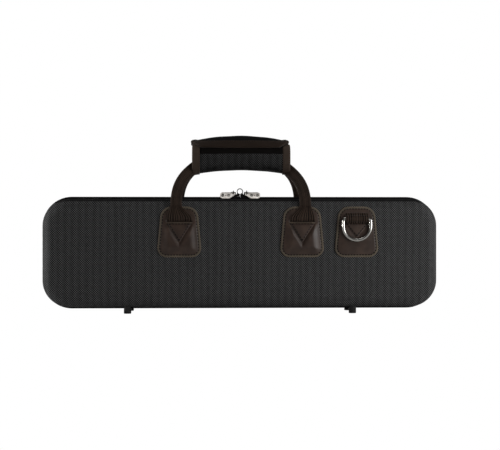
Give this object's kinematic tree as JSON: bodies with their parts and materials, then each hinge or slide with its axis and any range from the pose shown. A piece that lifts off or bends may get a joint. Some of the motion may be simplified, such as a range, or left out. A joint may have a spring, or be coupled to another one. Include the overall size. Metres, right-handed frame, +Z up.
{
  "type": "flute case",
  "caption": "Slim zipped hard case for a flute, standing on its spine, with a padded wrap handle, leather patches, strap rings and a channelled tray inside.",
  "frame": {"origin": "on the ground under the middle of the case, between the feet", "axes": "+X along the case to the viewer's right, +Y towards the rear, +Z up"},
  "size_m": [0.42, 0.0922, 0.1887],
  "materials": {
    "cover_fabric": "woven nylon, diagonal weave",
    "shell_board": "moulded board",
    "plush": "short pile",
    "piping_fabric": "woven, matt",
    "zip_tape_fabric": "woven tape",
    "zip_coil_nylon": "satin",
    "patch_leather": "smooth, satin",
    "webbing_cotton": "woven webbing",
    "binding_cotton": "woven tape",
    "grip_fabric": "woven nylon, padded",
    "hook_and_loop": "hook and loop",
    "ring_chrome": "polished",
    "slider_metal": "gloss black",
    "pull_nickel": "polished nickel",
    "foot_plastic": "gloss",
    "screw_steel": "plain"
  },
  "bodies": {
    "base": {"rear_shell_cover": "cover_fabric", "rear_shell_core": "shell_board", "rear_lining": "plush", "rear_rim_piping": "piping_fabric", "rear_zip_tape": "zip_tape_fabric", "rear_zip_coil": "zip_coil_nylon", "rear_feet": "foot_plastic", "rear_foot_screws": "screw_steel", "rear_handle_patch_left": "patch_leather", "rear_handle_patch_right": "patch_leather", "rear_webbing_root_left": "webbing_cotton", "rear_webbing_root_right": "webbing_cotton", "rear_ring_patch": "patch_leather", "rear_ring_loop": "webbing_cotton", "flute_tray": "plush", "spine_tape": "piping_fabric"},
    "lid": {"front_shell_cover": "cover_fabric", "front_shell_core": "shell_board", "front_lining": "plush", "front_rim_piping": "piping_fabric", "front_zip_tape": "zip_tape_fabric", "front_zip_coil": "zip_coil_nylon", "front_feet": "foot_plastic", "front_foot_screws": "screw_steel", "front_handle_patch_left": "patch_leather", "front_handle_patch_right": "patch_leather", "front_webbing_root_left": "webbing_cotton", "front_webbing_root_right": "webbing_cotton", "front_ring_patch": "patch_leather", "front_ring_loop": "webbing_cotton", "lid_pad": "plush"},
    "front_handle": {"front_strap": "webbing_cotton"},
    "rear_handle": {"rear_strap": "webbing_cotton", "grip_pad": "grip_fabric", "grip_front_panel": "grip_fabric", "panel_loop_strip": "hook_and_loop", "panel_binding": "binding_cotton", "grip_end_bindings": "binding_cotton"},
    "flap": {"grip_flap": "grip_fabric", "flap_hook_strip": "hook_and_loop", "flap_binding": "binding_cotton"},
    "front_ring": {"front_d_ring": "ring_chrome"},
    "rear_ring": {"rear_d_ring": "ring_chrome"},
    "left_slider": {"slider_left": "slider_metal"},
    "right_slider": {"slider_right": "slider_metal"},
    "left_pull": {"pull_link_left": "slider_metal", "pull_tab_left": "pull_nickel"},
    "right_pull": {"pull_link_right": "slider_metal", "pull_tab_right": "pull_nickel"}
  },
  "joints": [
    {"name": "lid_hinge", "type": "hinge", "parent": "base", "child": "lid", "pos_m": [0, 0, 0.0064], "axis": [1, 0, 0], "range_deg": [0, 120], "deforming": ["spine_tape"]},
    {"name": "front_handle_fold", "type": "hinge", "parent": "lid", "child": "front_handle", "pos_m": [0, -0.042, 0.11395], "axis": [1, 0, 0], "range_deg": [0, 150], "deforming": ["grip_front_panel", "panel_loop_strip", "panel_binding", "grip_end_bindings", "grip_flap", "flap_hook_strip", "flap_binding"]},
    {"name": "rear_handle_fold", "type": "hinge", "parent": "base", "child": "rear_handle", "pos_m": [0, 0.042, 0.11395], "axis": [-1, 0, 0], "range_deg": [0, 150]},
    {"name": "flap_lift", "type": "hinge", "parent": "rear_handle", "child": "flap", "pos_m": [0, 0.009, 0.1775], "axis": [-1, 0, 0], "range_deg": [0, 110]},
    {"name": "front_ring_swing", "type": "hinge", "parent": "lid", "child": "front_ring", "pos_m": [0.121, -0.0424, 0.1], "axis": [-1, 0, 0], "range_deg": [0, 150]},
    {"name": "rear_ring_swing", "type": "hinge", "parent": "base", "child": "rear_ring", "pos_m": [-0.121, 0.0424, 0.1], "axis": [1, 0, 0], "range_deg": [0, 150]},
    {"name": "left_slider_run", "type": "slide", "parent": "base", "child": "left_slider", "axis": [-1, 0, 0], "range_m": [0, 0.16]},
    {"name": "right_slider_run", "type": "slide", "parent": "base", "child": "right_slider", "axis": [1, 0, 0], "range_m": [0, 0.16]},
    {"name": "left_pull_swing", "type": "hinge", "parent": "left_slider", "child": "left_pull", "pos_m": [-0.0072, 0, 0.1284], "axis": [-1, 0, 0], "range_deg": [0, 150]},
    {"name": "right_pull_swing", "type": "hinge", "parent": "right_slider", "child": "right_pull", "pos_m": [0.0072, 0, 0.1284], "axis": [-1, 0, 0], "range_deg": [0, 150]}
  ]
}
